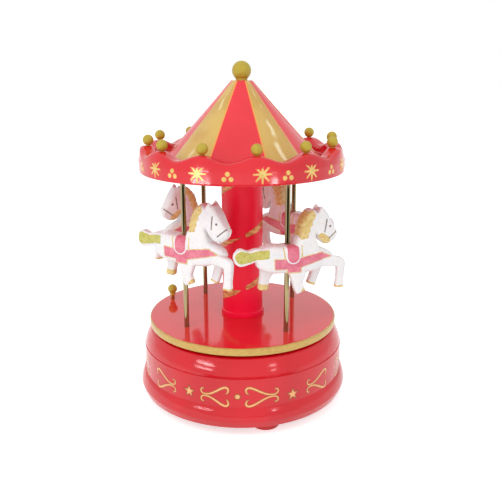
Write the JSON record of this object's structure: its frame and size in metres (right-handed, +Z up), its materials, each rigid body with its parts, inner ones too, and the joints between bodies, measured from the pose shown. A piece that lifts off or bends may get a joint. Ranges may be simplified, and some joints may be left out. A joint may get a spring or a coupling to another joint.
{
  "type": "carousel music box",
  "caption": "Wind-up carousel music box: horses on poles between a turntable and a cone roof turn on a round base that holds the musical movement.",
  "frame": {"origin": "on the floor, under the axis of the carousel", "axes": "+Z up along the axis of the carousel, -Y towards the viewer of the picture"},
  "size_m": [0.1042, 0.1042, 0.1641],
  "materials": {
    "red_plastic": "gloss moulded plastic with gold print",
    "gold_wood": "satin gold paint on turned wood",
    "white_plastic": "white moulding with pink and gold paint",
    "brass": "polished",
    "steel": "bright",
    "zinc_casting": "as cast",
    "rubber": "matt",
    "nylon": "natural"
  },
  "bodies": {
    "base": {"base_drum": "red_plastic", "bottom_plate": "red_plastic", "feet": "red_plastic", "foot_screws": "steel", "base_cap": "red_plastic", "cap_bush": "brass", "thrust_washer": "nylon", "bedplate": "zinc_casting", "bedplate_screws": "steel", "spring_barrel": "steel", "mainspring": "steel", "comb": "steel", "movement_screws": "steel", "train_bracket": "steel"},
    "carousel": {"turntable": "red_plastic", "winding_arbor": "steel", "great_wheel": "brass", "wheel_nut": "steel", "hub_nut": "steel", "column": "red_plastic", "crown": "red_plastic", "crown_beads": "gold_wood", "roof_cone": "red_plastic", "roof_screw": "steel", "finial": "gold_wood", "pole_1": "brass", "pole_2": "brass", "pole_3": "brass", "pole_4": "brass", "horse_1": "white_plastic", "horse_2": "white_plastic", "horse_3": "white_plastic", "horse_4": "white_plastic"},
    "stop_pin": {"stop_knob": "gold_wood", "stop_rod": "steel", "stop_pad": "rubber"},
    "cylinder": {"pin_cylinder": "brass", "cylinder_arbor": "steel", "cylinder_pinion": "brass", "cylinder_wheel": "brass"},
    "idler": {"idler_arbor": "steel", "idler_pinion": "brass", "worm_wheel": "nylon"},
    "governor": {"governor_worm": "steel", "governor_fan": "nylon"}
  },
  "joints": [
    {"name": "carousel_spin", "type": "hinge", "parent": "base", "child": "carousel", "pos_m": [0, 0, 0.038], "axis": [0, 0, 1], "continuous": true},
    {"name": "stop_pin_press", "type": "slide", "parent": "carousel", "child": "stop_pin", "axis": [0, 0, -1], "range_m": [0, 0.00225]},
    {"name": "cylinder_spin", "type": "hinge", "parent": "base", "child": "cylinder", "pos_m": [0.0192, 0, 0.02055], "axis": [1, 0, 0], "continuous": true},
    {"name": "idler_spin", "type": "hinge", "parent": "base", "child": "idler", "pos_m": [0.03434, 0.00757, 0.01779], "axis": [1, 0, 0], "continuous": true},
    {"name": "governor_spin", "type": "hinge", "parent": "base", "child": "governor", "pos_m": [0.03734, 0.01303, 0.01779], "axis": [0, 0, 1], "continuous": true}
  ],
  "couplings": [
    {"joint": "cylinder_spin", "follows": "carousel_spin", "ratio": 3},
    {"joint": "idler_spin", "follows": "carousel_spin", "ratio": -9},
    {"joint": "governor_spin", "follows": "carousel_spin", "ratio": 144}
  ]
}
